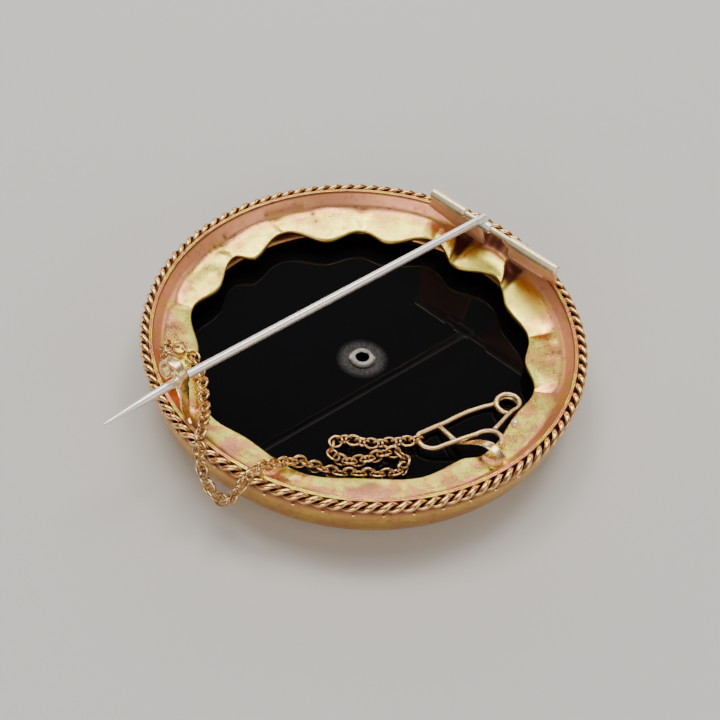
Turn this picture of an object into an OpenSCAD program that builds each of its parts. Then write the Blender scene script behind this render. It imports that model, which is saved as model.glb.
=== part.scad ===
// Onyx brooch lying face down, with its back, hinge, pin and catch up.
// Its own frame: the floor is z = 0, the back faces +Z, the hinge is at +X and the pin
// points to -X. The modules are drawn about the middle of the rope rim and lifted at the end.

/* [Border] */
// Diameter over the rope rim
border_d = 51; // [50.8:0.1:51.2]
// Height of the middle of the rope over the floor
rope_h = 7; // [6.9:0.05:7.2]
// Diameter of the rope
rope_d = 1.24; // [1.1:0.02:1.3]
// Height of the rim over the middle of the rope
rim_up = 0.4; // [0.2:0.05:0.6]
// Width of the flat top of the rim
rim_w = 0.4; // [0.3:0.05:0.5]
// Depth of the fold between the inner wall and the shelf
fold_down = 1.5; // [1.3:0.05:1.7]
// Thickness of the shelf
shelf_t = 0.4; // [0.3:0.05:0.5]
// Fall of the shelf towards the onyx, in degrees
shelf_fall = 13.3; // [12:0.1:14]
// Diameter of the opening on the front
front_d = 40.4; // [40:0.1:41]
// Diameter of one granule under the rope
granule_d = 0.5; // [0.4:0.05:0.5]
// Number of granules
granule_count = 50; // [40:1:52]

/* [Onyx and rivet] */
// Diameter of the onyx plate
onyx_d = 43.6; // [43.2:0.1:43.6]
// Thickness of the onyx plate
onyx_t = 1.55; // [1.4:0.05:1.55]
// Bore of the hollow rivet
rivet_bore_d = 1.46; // [1.2:0.02:1.6]
// Outer diameter of the rivet's tube
rivet_tube_d = 2.1; // [1.9:0.05:2.3]
// Diameter of the flare on the back
rivet_flare_d = 3.14; // [2.8:0.02:3.4]
// Diameter of the collar on the front
rivet_collar_d = 4.8; // [4:0.1:5.4]

/* [Hinge and pin] */
// Distance from the middle to the hinge line
hinge_x = 19.85; // [19.7:0.05:20]
// Height of the hinge line over the middle of the rope
hinge_up = 4.5; // [4.4:0.05:4.6]
// Diameter of the knuckles
knuckle_d = 1.26; // [1.2:0.02:1.3]
// Diameter of the hinge wire
hinge_wire_d = 0.72; // [0.66:0.02:0.74]
// Diameter of the pin
pin_d = 0.92; // [0.86:0.02:0.96]
// Length of the straight stretch of the pin, from its head to the catch
pin_straight = 43.1; // [43:0.1:43.3]
// Skew of the pin in plan, in degrees
pin_skew = 8.1; // [7.8:0.1:8.4]
// Length of the free end beyond the catch
pin_free = 10.3; // [9.5:0.1:10.5]

/* [Catch] */
// Outer radius of the hook that the pin snaps under
hook_r = 1.75; // [1.7:0.05:1.8]
// Width of the hook's strip
hook_w = 1.2; // [1:0.05:1.3]
// Thickness of the hook's strip
hook_t = 0.38; // [0.3:0.02:0.4]
// Diameter of the jump ring over its wire
jump_ring_d = 2.1; // [2:0.05:2.2]
// Diameter of the jump ring's wire
jump_wire_d = 0.34; // [0.3:0.02:0.36]

/* [Chain and safety pin] */
// Distance from one link's middle to the next
link_pitch = 1; // [0.98:0.01:1.02]
// Diameter of the links' wire
link_wire_d = 0.25; // [0.22:0.01:0.26]
// Diameter of the safety pin's wire
safety_wire_d = 0.54; // [0.48:0.02:0.56]

/* [Hidden] */
$fn = 96;
eps = 0.01;
gold = "goldenrod";
pale_gold = "khaki";

// Border section, as radii from the middle and heights over the middle of the rope
border_r = border_d / 2;
rope_r = rope_d / 2;
rope_ring_r = border_r - rope_r;
wall_r = border_r - 0.55;
rim_out_r = border_r - 1.15;
rim_in_r = rim_out_r - rim_w;
fold_r = rim_in_r - 1.05;
rope_seat = -0.3;
lip_in_r = 17.6;
dome_in_r = 20.9;
dome_top = -1.6;
front_r = front_d / 2;
seat_gap = 0.1;
onyx_front = -6.2;
onyx_back = onyx_front + onyx_t;
seat_r = onyx_d / 2 + seat_gap;
granule_ring_r = wall_r + 0.06;
granule_z = -1.2;

function shelf_z(r) = -fold_down - (fold_r - r) * tan(shelf_fall);

// The scalloped lip: each row is a cusp or a hollow, and the edge swings evenly between rows
LIP_ANGLE = 0;
LIP_RADIUS = 1;
LIP = [
    [138, 18.85], [120, 20.4], [107, 19.0], [92, 20.6], [86, 19.0], [71, 20.7], [56, 18.2],
    [43, 19.5], [33, 18.2], [17, 20.4], [4, 18.2], [-10, 20.2], [-25, 18.7], [-40, 19.5],
    [-51, 18.7], [-65, 20.1], [-78, 19.3], [-98, 20.1], [-105, 19.2], [-120, 19.8],
    [-137, 19.3], [-156, 20.1], [-177, 19.2], [-193, 20.4], [-207, 19.2], [-214, 19.9],
    [-222, 18.85]
];
lip_steps = 4;
function polar(angle, r) = [r * cos(angle), r * sin(angle)];
function swing(t) = (1 - cos(180 * t)) / 2;
function lip_edge() = [
    for (i = [0 : len(LIP) - 2], k = [0 : lip_steps - 1])
        let (a = LIP[i], b = LIP[i + 1], t = k / lip_steps)
        polar(
            a[LIP_ANGLE] + (b[LIP_ANGLE] - a[LIP_ANGLE]) * t,
            a[LIP_RADIUS] + (b[LIP_RADIUS] - a[LIP_RADIUS]) * swing(t)
        )
];

// Hinge: the knuckles lie along Y, as [one end, other end]
knuckle_r = knuckle_d / 2;
hinge_wire_r = hinge_wire_d / 2;
outer_bore_r = hinge_wire_r + 0.03;
pin_bore_r = hinge_wire_r + 0.05;
left_knuckle = [2.1, 7.3];
pin_knuckle = [-1.75, 0.65];
right_knuckle = [-11.6, -4.6];
// Plates that lean out from the knuckles down to the wall. Each point is [way down the
// plate from the hinge line, place along Y].
plate_t = 0.5;
plate_lean = 28;
LEFT_PLATE = [[0.3, 7.2], [0.3, 2.2], [1, 2.2], [1, 0.2], [6.7, 0.9], [6.7, 9.4]];
RIGHT_PLATE = [
    [0.3, -4.6], [0.3, -11.3], [6.7, -10.6], [6.7, -4], [4.4, -3.6], [2.1, -4.2], [1.2, -3.4],
    [0.7, -3.4]
];

// Pin: its axis runs through these points
pin_r = pin_d / 2;
pin_head = [20.3, -0.48, 5.42];
head_l = 0.16;
head_r = 0.28;
pin_fall = 0.4;
free_fall = 5;
taper_l = 6;
pin_point_r = 0.12;
function pin_dir(fall) = [
    -cos(pin_skew) * cos(fall), sin(pin_skew) * cos(fall), -sin(fall)
];
pin_end = pin_head - pin_dir(pin_fall) * head_l;
pin_bend = pin_head + pin_dir(pin_fall) * pin_straight;
pin_tip = pin_bend + pin_dir(free_fall) * pin_free;

// Catch: hook over the pin, its limb on the wall and the plate that holds the jump ring.
// The limb narrows on its outer side, from limb_wide_z down to limb_narrow_z.
hook_in_x = -22.95;
hook_mid = [5.9, 6.3];
hook_from = -60;
hook_to = 210;
limb_wide_z = 2.5;
limb_narrow_z = 0.6;
limb_narrow_w = 0.7;
limb_foot = -1.2;
plate_from = [-19.8, 10.9];
plate_to = [-23.6, 3.6];
catch_plate_t = 0.4;
catch_plate_top = 0.2;
catch_plate_foot = -2.1;
plate_hole_r = 0.42;
plate_hole_in = 0.85;
plate_hole_z = -0.5;
jump_r = (jump_ring_d - jump_wire_d) / 2;

// Hook for a pendant: a tapered strip that arches from the fold down to the onyx.
// PENDANT lists points along its middle, as [y, z], and its half width there.
PENDANT = [
    [-22.9, -1.9, 0.3], [-22.3, -1.35, 0.35], [-21.6, -0.95, 0.5], [-20.8, -0.75, 0.55],
    [-20.0, -0.8, 0.55], [-19.0, -1.35, 0.5], [-18.0, -2.25, 0.42], [-17.0, -3.25, 0.33],
    [-16.2, -3.95, 0.24], [-15.7, -4.25, 0.16]
];
pendant_x = -2.3;
pendant_t = 0.2;
solder_ball = [3.05, -19.8, -2];
solder_ball_r = 0.52;

// The part is lifted onto the floor and moved to the middle of its box
lift = rope_h;
tip_reach = pin_point_r * norm(cross(pin_dir(free_fall), [1, 0, 0]));
shift_x = -(pin_tip[0] - tip_reach + border_r) / 2;

module place() {
    translate([shift_x, 0, lift]) children();
}

// Vector helpers
function unit(v) = v / norm(v);
function last(v) = v[len(v) - 1];
function ring_at(c, u, v, r, sides) = [
    for (k = [0 : sides - 1])
        c + r * (u * cos(360 * k / sides) + v * sin(360 * k / sides))
];
function across(v) = unit(cross(v, abs(v[2]) < 0.9 ? [0, 0, 1] : [1, 0, 0]));

// Smooth curve through the points of a route, step points to each stretch
function curve_at(a, b, c, d, t) =
    0.5 * (2 * b + (c - a) * t + (2 * a - 5 * b + 4 * c - d) * t * t
        + (3 * b - a - 3 * c + d) * t * t * t);
function smooth(route, steps) = concat(
    [
        for (i = [0 : len(route) - 2], k = [0 : steps - 1])
            curve_at(route[max(i - 1, 0)], route[i], route[i + 1],
                route[min(i + 2, len(route) - 1)], k / steps)
    ],
    [last(route)]
);

// Directions along a path, and a sideways direction that turns as little as it can
function headings(path) = [
    for (i = [0 : len(path) - 1])
        unit(path[min(i + 1, len(path) - 1)] - path[max(i - 1, 0)])
];
function flat_to(v, heading) = unit(v - (v * heading) * heading);
function sideways(dirs, first) = [
    for (i = 0, u = flat_to(first, dirs[0]); i < len(dirs);
        i = i + 1, u = i < len(dirs) ? flat_to(u, dirs[i]) : u) u
];

// Skin over rings of points, closed at both ends or joined into a loop
function skin_faces(rings, sides, loop) = [
    for (i = [0 : rings - (loop ? 1 : 2)], k = [0 : sides - 1])
        let (a = i * sides, b = ((i + 1) % rings) * sides, n = (k + 1) % sides)
        each [[a + k, a + n, b + n], [a + k, b + n, b + k]]
];
function end_faces(rings, sides) = [
    [for (k = [sides - 1 : -1 : 0]) k],
    [for (k = [0 : sides - 1]) (rings - 1) * sides + k]
];

module wire(path, r, sides) {
    dirs = headings(path);
    side = sideways(dirs, across(dirs[0]));
    points = [
        for (i = [0 : len(path) - 1])
            each ring_at(path[i], side[i], cross(side[i], dirs[i]), r, sides)
    ];
    polyhedron(points, concat(
        end_faces(len(path), sides), skin_faces(len(path), sides, false)
    ));
}

// Oval link with its long way along t and its width along u
link_sides = 10;
link_wire_sides = 5;
link_half_l = 0.79;
link_half_w = 0.64;
module link(c, t, u) {
    points = [
        for (k = [0 : link_sides - 1])
            let (
                a = 360 * k / link_sides,
                mid = c + t * link_half_l * cos(a) + u * link_half_w * sin(a),
                out = unit(t * cos(a) / link_half_l + u * sin(a) / link_half_w)
            )
            each ring_at(mid, out, cross(t, u), link_wire_d / 2, link_wire_sides)
    ];
    polyhedron(points, skin_faces(link_sides, link_wire_sides, true));
}

// Route of the chain, from the jump ring to the safety pin
CHAIN_ROUTE = [
    [-20, 10.5, 1.3], [-19.6, 11.6, 1.35], [-18.7, 12.8, 0.9], [-17.6, 13.6, 0.1],
    [-16.5, 13.3, -0.8], [-15.9, 12.1, -1.3], [-16.2, 10.5, -1.4], [-17, 9, -1.4],
    [-18.1, 7.6, -1.3], [-19.2, 6.3, -1.1], [-20.3, 5, -0.8], [-21.4, 3.7, -0.1],
    [-22.8, 2.4, 0.9], [-24.4, 1.1, 1.6], [-25.9, -0.3, 1.1], [-26.8, -1.7, -0.5],
    [-27, -3.1, -1.9], [-27, -4.6, -2.2], [-26.7, -5.8, -1], [-26, -6.3, 0.6],
    [-24.8, -6.4, 1.6], [-23.3, -6.3, 1.5], [-21.7, -6.1, 0.4], [-19.9, -6.2, -0.9],
    [-18.1, -7, -1.5], [-16.5, -8.3, -2.8], [-14.9, -9.9, -3.75], [-13.3, -11.6, -3.75],
    [-12, -13, -3.75], [-10.8, -14.1, -3.75], [-9.4, -14.4, -3.75], [-8.3, -13.6, -3.75],
    [-8.3, -12.4, -3.75], [-9.3, -11.6, -3.75], [-10.6, -11.1, -3.75], [-12, -10.4, -3.75],
    [-13.1, -9.3, -3.75], [-13.5, -8.1, -3.75], [-12.7, -7, -3.75], [-11.4, -6.9, -3.75],
    [-10.4, -8, -3.75], [-9.6, -9.3, -3.75], [-8.7, -10.3, -3.75], [-7.8, -11, -3.75],
    [-7, -11.6, -3.75], [-6.2, -12.25, -3.75], [-5.4, -12.85, -3.75]
];
curve_steps = 12;
chain_path = smooth(CHAIN_ROUTE, curve_steps);
chain_run = [
    for (i = 0, s = 0; i < len(chain_path);
        i = i + 1, s = i < len(chain_path) ? s + norm(chain_path[i] - chain_path[i - 1]) : s) s
];
link_count = round(last(chain_run) / link_pitch) + 1;
link_step = last(chain_run) / (link_count - 1);
chain_twist = -12;
function chain_point(s) = [for (axis = [0 : 2]) lookup(s, [
    for (i = [0 : len(chain_path) - 1]) [chain_run[i], chain_path[i][axis]]
])];
link_mids = [for (i = [0 : link_count - 1]) chain_point(i * link_step)];

// Safety pin: points along its one wire, from the sharp end through the coil to the curl
coil_mid = [6.1, -16.7];
coil_r = 1.33;
coil_from = -83;
coil_turn = 540;
coil_top = -3.4;
coil_foot = -4.2;
SHARP_ARM = [[1.2, -18.4, -2.8], [4.9, -17.95, -3.25]];
CLOSED_ARM = [
    [5.1, -15.35, -4.2], [4.25, -14.9, -4.2], [3.1, -14.4, -4.2], [1.9, -13.95, -4.2],
    [0.45, -13.6, -4.15], [-1, -13.3, -4.1], [-2.3, -12.95, -4], [-3.7, -12.65, -3.85],
    [-4.5, -12.5, -3.75], [-4.95, -12.75, -3.75], [-5.4, -13.35, -3.75], [-5.5, -13.95, -3.75],
    [-5.2, -14.65, -3.75], [-4.7, -15.2, -3.65], [-3.95, -15.65, -3.4], [-2.9, -16.3, -3.05],
    [-1.9, -16.85, -2.8], [-0.9, -17.4, -2.65], [-0.15, -17.75, -2.5], [0.35, -18.4, -2.2],
    [0.5, -19.25, -1.95], [0.1, -20.15, -1.65], [-0.75, -20.7, -1.5]
];
CROSS_BAR = [[-1.85, -13.1, -4.05], [-2.85, -16.25, -3.1]];
coil_steps = 30;
safety_route = concat(
    SHARP_ARM,
    [
        for (k = [0 : coil_steps])
            let (t = k / coil_steps, a = coil_from + coil_turn * t)
            [
                coil_mid[0] + coil_r * cos(a),
                coil_mid[1] + coil_r * sin(a),
                coil_top + (coil_foot - coil_top) * t
            ]
    ],
    CLOSED_ARM
);
safety_ball_r = 0.34;

// The border, one section turned right round and its shelf cut to the scalloped lip
dome_steps = 9;
module border() {
    dome = [
        for (k = [0 : dome_steps])
            let (a = 90 * k / dome_steps)
            [
                dome_in_r + (wall_r - dome_in_r) * cos(a),
                dome_top + (-rope_h - dome_top) * sin(a)
            ]
    ];
    section = concat(
        [
            [rim_out_r, rope_seat], [rim_out_r, rim_up], [rim_in_r, rim_up], [fold_r, -fold_down],
            [lip_in_r, shelf_z(lip_in_r)], [lip_in_r, shelf_z(lip_in_r) - shelf_t],
            [fold_r - 0.1, shelf_z(fold_r - 0.1) - shelf_t], [fold_r + 0.5, -1.6],
            [wall_r - 0.6, -1.7], [wall_r - 0.6, -2.4], [wall_r - 1.3, -4.1],
            [seat_r + 0.4, -4.1], [seat_r - 0.5, onyx_back + seat_gap + 0.25],
            [seat_r - 0.5, onyx_back + seat_gap], [seat_r, onyx_back + seat_gap],
            [seat_r, onyx_front - seat_gap], [front_r, onyx_front - seat_gap],
            [front_r, -rope_h + 0.3], [dome_in_r - 0.3, -rope_h]
        ],
        [for (k = [dome_steps : -1 : 0]) dome[k]],
        [[wall_r, -0.75]]
    );
    difference() {
        rotate_extrude($fn = 180) polygon(section);
        translate([0, 0, shelf_z(lip_in_r) - 1])
            linear_extrude(3) polygon(lip_edge());
        translate([-4.1, -22.1, -2.6]) cylinder(r = 0.3, h = 2);
    }
}

module rope() {
    rotate_extrude($fn = 180) translate([rope_ring_r, 0]) circle(r = rope_r, $fn = 32);
}

module granules() {
    for (k = [0 : granule_count - 1])
        rotate(360 * (k + 0.5) / granule_count)
            translate([granule_ring_r, 0, granule_z]) sphere(d = granule_d, $fn = 24);
}

module tube_along_y(span, r) {
    translate([hinge_x, span[1], hinge_up]) rotate([90, 0, 0])
        cylinder(r = r, h = span[1] - span[0], $fn = 48);
}

module hinge_plate(outline) {
    translate([hinge_x, 0, hinge_up]) rotate([0, 90 - plate_lean, 0])
        translate([0, 0, -plate_t / 2]) linear_extrude(plate_t) polygon(outline);
}

// Room inside the border, reaching a little into the wall
module inside_wall() {
    rotate_extrude($fn = 180) polygon([
        [0, -fold_down - 0.4], [fold_r, -fold_down - 0.2], [rim_in_r + 0.15, rim_up - 0.05],
        [rim_in_r + 0.15, 10], [0, 10]
    ]);
}

module hinge_mounting() {
    difference() {
        union() {
            tube_along_y(left_knuckle, knuckle_r);
            tube_along_y(right_knuckle, knuckle_r);
            intersection() {
                union() {
                    hinge_plate(LEFT_PLATE);
                    hinge_plate(RIGHT_PLATE);
                }
                inside_wall();
            }
        }
        tube_along_y([-15, 15], outer_bore_r);
    }
}

module catch_hook() {
    translate([hook_in_x - hook_w, hook_mid[0], hook_mid[1]]) rotate([90, 0, 90])
        rotate([0, 0, hook_from]) rotate_extrude(angle = hook_to - hook_from, $fn = 96)
            translate([hook_r - hook_t, 0]) square([hook_t, hook_w]);
    limb_top = hook_mid[1] + hook_r * sin(hook_to) + 0.1;
    wide_x = hook_in_x - hook_w;
    narrow_x = hook_in_x - limb_narrow_w;
    translate([0, hook_mid[0] - hook_r + 0.1 + hook_t, 0]) rotate([90, 0, 0])
        linear_extrude(hook_t) polygon([
            [hook_in_x, limb_top], [wide_x, limb_top], [wide_x, limb_wide_z],
            [narrow_x, limb_narrow_z], [narrow_x, limb_foot], [hook_in_x, limb_foot]
        ]);
}

module along_catch_plate() {
    run = plate_to - plate_from;
    translate([plate_from[0], plate_from[1], 0]) rotate(atan2(run[1], run[0])) children();
}

module catch_plate() {
    along_catch_plate() difference() {
        translate([0, -catch_plate_t / 2, catch_plate_foot])
            cube([
                norm(plate_to - plate_from), catch_plate_t, catch_plate_top - catch_plate_foot
            ]);
        translate([plate_hole_in, 1, plate_hole_z]) rotate([90, 0, 0])
            cylinder(r = plate_hole_r, h = 2, $fn = 32);
    }
}

module pendant_hook() {
    count = len(PENDANT) - 1;
    side_view = concat(
        [for (i = [0 : count]) [PENDANT[i][0], PENDANT[i][1] + pendant_t / 2]],
        [for (i = [count : -1 : 0]) [PENDANT[i][0], PENDANT[i][1] - pendant_t / 2]]
    );
    top_view = concat(
        [for (i = [0 : count]) [pendant_x + PENDANT[i][2], PENDANT[i][0]]],
        [for (i = [count : -1 : 0]) [pendant_x - PENDANT[i][2], PENDANT[i][0]]]
    );
    intersection() {
        translate([pendant_x + 1, 0, 0]) rotate([90, 0, -90]) mirror([1, 0, 0])
            linear_extrude(2) polygon(side_view);
        translate([0, 0, -6]) linear_extrude(8) polygon(top_view);
    }
}

module frame() {
    color(gold) place() {
        border();
        rope();
        granules();
        hinge_mounting();
        catch_hook();
        catch_plate();
        pendant_hook();
        translate(solder_ball) sphere(r = solder_ball_r, $fn = 32);
    }
}

module onyx() {
    color("black") place() translate([0, 0, onyx_front]) difference() {
        cylinder(d = onyx_d, h = onyx_t, $fn = 180);
        translate([0, 0, -eps])
            cylinder(r = rivet_tube_d / 2 + 0.05, h = onyx_t + 2 * eps, $fn = 48);
    }
}

module rivet() {
    back = onyx_back + 0.05;
    front = onyx_front - 0.05;
    bore = rivet_bore_d / 2;
    tube = rivet_tube_d / 2;
    flare = rivet_flare_d / 2;
    color("silver") place() rotate_extrude($fn = 64) polygon([
        [bore, front - 0.5], [rivet_collar_d / 2 - 0.15, front - 0.5],
        [rivet_collar_d / 2, front - 0.35], [rivet_collar_d / 2, front], [tube, front],
        [tube, back], [flare, back], [flare, back + 0.12], [flare - 0.3, back + 0.32],
        [bore + 0.1, back + 0.32], [bore, back + 0.2]
    ]);
}

module hinge_wire() {
    color("silver") place()
        tube_along_y([right_knuckle[0] + 0.1, left_knuckle[1] - 0.1], hinge_wire_r);
}

module pin_stretch(a, b, r_a, r_b) {
    run = b - a;
    translate(a) rotate([0, acos(run[2] / norm(run)), atan2(run[1], run[0])])
        cylinder(r1 = r_a, r2 = r_b, h = norm(run), $fn = 48);
}

module pin_stem() {
    taper_from = pin_tip - pin_dir(free_fall) * taper_l;
    color("gold") place() difference() {
        union() {
            tube_along_y(pin_knuckle, knuckle_r);
            pin_stretch(pin_end, pin_head, head_r, pin_r);
            pin_stretch(pin_head, pin_bend, pin_r, pin_r);
            translate(pin_bend) sphere(r = pin_r, $fn = 48);
            pin_stretch(pin_bend, taper_from, pin_r, pin_r);
            pin_stretch(taper_from, pin_tip, pin_r, pin_point_r);
        }
        tube_along_y([-3, 3], pin_bore_r);
    }
}

module jump_ring() {
    color(pale_gold) place() along_catch_plate()
        translate([plate_hole_in, 0, plate_hole_z + jump_r]) rotate([90, 0, 90])
            rotate_extrude($fn = 48) translate([jump_r, 0])
                circle(d = jump_wire_d, $fn = 24);
}

module chain() {
    dirs = headings(link_mids);
    side = sideways(dirs, [0, 0, 1]);
    color(pale_gold) place() for (i = [0 : link_count - 1]) {
        turn = 90 * (i % 2) + chain_twist * i / (link_count - 1);
        over = cross(dirs[i], side[i]);
        link(link_mids[i], dirs[i], side[i] * cos(turn) + over * sin(turn));
    }
}

module safety_pin() {
    color(pale_gold) place() {
        wire(smooth(safety_route, 1), safety_wire_d / 2, 6);
        wire(CROSS_BAR, safety_wire_d / 2, 6);
        translate(last(CLOSED_ARM)) sphere(r = safety_ball_r, $fn = 12);
    }
}

frame();
onyx();
rivet();
hinge_wire();
pin_stem();
jump_ring();
chain();
safety_pin();
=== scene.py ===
import math

import bmesh
import bpy
from mathutils import Matrix, Vector, noise


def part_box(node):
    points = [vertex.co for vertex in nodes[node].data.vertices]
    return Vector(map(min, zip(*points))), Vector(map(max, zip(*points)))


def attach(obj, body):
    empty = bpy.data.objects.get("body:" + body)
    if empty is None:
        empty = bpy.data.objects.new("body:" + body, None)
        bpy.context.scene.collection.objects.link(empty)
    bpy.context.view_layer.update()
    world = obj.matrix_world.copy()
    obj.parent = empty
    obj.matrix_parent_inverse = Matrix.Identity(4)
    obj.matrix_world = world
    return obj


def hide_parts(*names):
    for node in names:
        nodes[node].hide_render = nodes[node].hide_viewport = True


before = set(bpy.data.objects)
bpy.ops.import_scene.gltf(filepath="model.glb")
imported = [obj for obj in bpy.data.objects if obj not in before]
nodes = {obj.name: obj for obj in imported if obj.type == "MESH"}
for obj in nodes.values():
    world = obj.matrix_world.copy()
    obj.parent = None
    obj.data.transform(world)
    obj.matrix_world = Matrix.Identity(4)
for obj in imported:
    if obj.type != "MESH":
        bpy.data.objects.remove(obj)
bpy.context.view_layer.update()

# ---------------------------------------------------------------------------------------
# Place of the brooch. It lies face down; sizes below are in millimetres from the middle of
# the rope rim, with +X to the hinge and +Z out of the back, and at() puts them in place.
MM = 0.001
ROPE_HEIGHT = 7.0
onyx_low, onyx_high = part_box("onyx")
MIDDLE = Vector(((onyx_low.x + onyx_high.x) / 2, (onyx_low.y + onyx_high.y) / 2,
                 ROPE_HEIGHT * MM))


def at(x, y, z):
    return MIDDLE + Vector((x, y, z)) * MM


# ---------------------------------------------------------------------------------------
# Camera, floor and lights. The camera looks down on the back from the catch's side, at the
# angle of the photograph; the floor is pale, and soft lamps stand round the brooch in a room
# that is dim.
SENSOR_WIDTH, LENS, NEAREST, FURTHEST = 36, 67.66, 0.01, 20
CAMERA_PLACE = (-84.71, -65.66, 110.70)
CAMERA_AZIMUTH, CAMERA_ELEVATION, CAMERA_ROLL = map(math.radians, (-52.09, 47.17, 6.03))
FLOOR_REACH, FLOOR_GREY, FLOOR_ROUGHNESS = 3, (0.62, 0.61, 0.6, 1), 0.7
ROOM_COLOUR, ROOM_STRENGTH, LAMP_COLOUR = (1, 0.97, 0.93, 1), 0.17, (1, 0.96, 0.9)
# Name, azimuth from +X towards +Y, elevation, distance, width and height, radiance
LAMPS = (
    ("overhead", 34, 78, 0.7, (0.5, 0.34), 3.4),
    ("over_hinge", 8, 60, 0.7, (0.2, 0.26), 8.0),
    ("over_far_side", 80, 60, 0.7, (0.3, 0.24), 9.0),
    ("low_opposite", 38, 22, 0.8, (0.5, 0.16), 4.2),
    ("behind_camera", -160, 22, 0.8, (0.6, 0.34), 4.5),
    ("low_near_side", -80, 24, 0.8, (0.6, 0.3), 2.2),
    ("low_beyond_hinge", -13, 16, 0.8, (0.4, 0.22), 3.0),
    ("low_far_side", 88, 15, 0.8, (0.4, 0.22), 3.0),
)


def placed(name, data):
    """New object in the scene, at the origin."""
    thing = bpy.data.objects.new(name, data)
    bpy.context.scene.collection.objects.link(thing)
    return thing


camera = placed("camera", bpy.data.cameras.new("camera"))
camera.data.sensor_width = SENSOR_WIDTH
camera.data.lens = LENS
camera.data.clip_start, camera.data.clip_end = NEAREST, FURTHEST
back = Vector((
    math.sin(CAMERA_AZIMUTH) * math.cos(CAMERA_ELEVATION),
    -math.cos(CAMERA_AZIMUTH) * math.cos(CAMERA_ELEVATION),
    math.sin(CAMERA_ELEVATION),
))
level = Vector((math.cos(CAMERA_AZIMUTH), math.sin(CAMERA_AZIMUTH), 0))
upright = back.cross(level)
right = level * math.cos(CAMERA_ROLL) + upright * math.sin(CAMERA_ROLL)
up = upright * math.cos(CAMERA_ROLL) - level * math.sin(CAMERA_ROLL)
camera.matrix_world = (Matrix.Translation(at(*CAMERA_PLACE))
                       @ Matrix((right, up, back)).transposed().to_4x4())
bpy.context.scene.camera = camera

floor = placed("floor", bpy.data.meshes.new("floor"))
floor.data.from_pydata([
    (x * FLOOR_REACH, y * FLOOR_REACH, 0) for x, y in ((-1, -1), (1, -1), (1, 1), (-1, 1))
], [], [(0, 1, 2, 3)])
floor_paint = bpy.data.materials.new("pale_floor")
floor_paint.use_nodes = True
floor_shader = floor_paint.node_tree.nodes["Principled BSDF"]
floor_shader.inputs["Base Color"].default_value = FLOOR_GREY
floor_shader.inputs["Roughness"].default_value = FLOOR_ROUGHNESS
floor.data.materials.append(floor_paint)

world = bpy.data.worlds.new("dim_room")
bpy.context.scene.world = world
world.use_nodes = True
room = world.node_tree.nodes["Background"]
room.inputs["Color"].default_value = ROOM_COLOUR
room.inputs["Strength"].default_value = ROOM_STRENGTH

for name, azimuth, elevation, away, size, radiance in LAMPS:
    azimuth, elevation = math.radians(azimuth), math.radians(elevation)
    aim = Vector((math.cos(azimuth) * math.cos(elevation),
                  math.sin(azimuth) * math.cos(elevation), math.sin(elevation)))
    lamp = placed(name, bpy.data.lights.new(name, "AREA"))
    lamp.data.shape = "RECTANGLE"
    lamp.data.size, lamp.data.size_y = size
    lamp.data.energy = radiance * math.pi * size[0] * size[1]
    lamp.data.color = LAMP_COLOUR
    lamp.location = MIDDLE + aim * away
    lamp.rotation_mode = "QUATERNION"
    lamp.rotation_quaternion = aim.to_track_quat("Z", "Y")

# ---------------------------------------------------------------------------------------
# Border. A band of gold sheet, chased from the front: inside it shows a rosy upright wall,
# a soft fold, and a yellow shelf beaten up into petals whose edge is the scalloped lip over
# the onyx. Two thin wires edge its rim; the outside is a dome that turns in to the bezel.
FOLD_R, FOLD_Z = 22.9, -1.5
COVE_START, COVE_END = 21.6, (23.3, -0.78)
SHELF_FALL = math.tan(math.radians(13.3))
SHEET, LIP_EDGE = 0.4, 0.1
RIM_WIRES, RIM_WIRE_R, RIM_UP = (24.05, 24.25), 0.1, 0.4
WALL_R, DOME_TOP, DOME_IN, FRONT_R, FOOT = 24.95, -1.6, 20.9, 20.2, -7.0
SEAT_R, ONYX_BACK, ONYX_FRONT, SEAT_GAP = 21.9, -4.65, -6.2, 0.1
# Scalloped lip: angle and radius where it turns, all the way round
LIP = (
    (138, 18.85), (120, 20.4), (107, 19.0), (92, 20.6), (86, 19.0), (71, 20.7), (56, 18.2),
    (43, 19.5), (33, 18.2), (17, 20.4), (4, 18.2), (-10, 20.2), (-25, 18.7), (-40, 19.5),
    (-51, 18.7), (-65, 20.1), (-78, 19.3), (-98, 20.1), (-105, 19.2), (-120, 19.8),
    (-137, 19.3), (-156, 20.1), (-177, 19.2), (-193, 20.4), (-207, 19.2), (-214, 19.9),
    (-222, 18.85),
)
# Soft creases between the petals: angle, half width at the fold in degrees, depth
CREASES = (
    (120, 5, 0.12), (92, 5, 0.1), (71, 5, 0.1), (43, 5, 0.1), (17, 4, 0.06), (-40, 5, 0.1),
    (-65, 6, 0.14), (-98, 6, 0.12), (-120, 6, 0.12), (-156, 6, 0.12), (-193, 6, 0.14),
    (-214, 5, 0.12),
)
# Deep recesses beside the hinge petal: the crisp edge and the soft edge, each as its angle
# at the lip and at the fold
RECESSES = (((7.3, 11.0), (4.9, 3.0)), ((-14.3, -8.2), (-17.5, -17.0)))
RECESS_AT_LIP, RECESS_AT_FOLD, CRISP_EDGE = 0.15, 0.6, 0.8
PETAL_RISE, HINGE_PETAL_RISE, BEATING = 0.2, 0.4, 0.1
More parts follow.
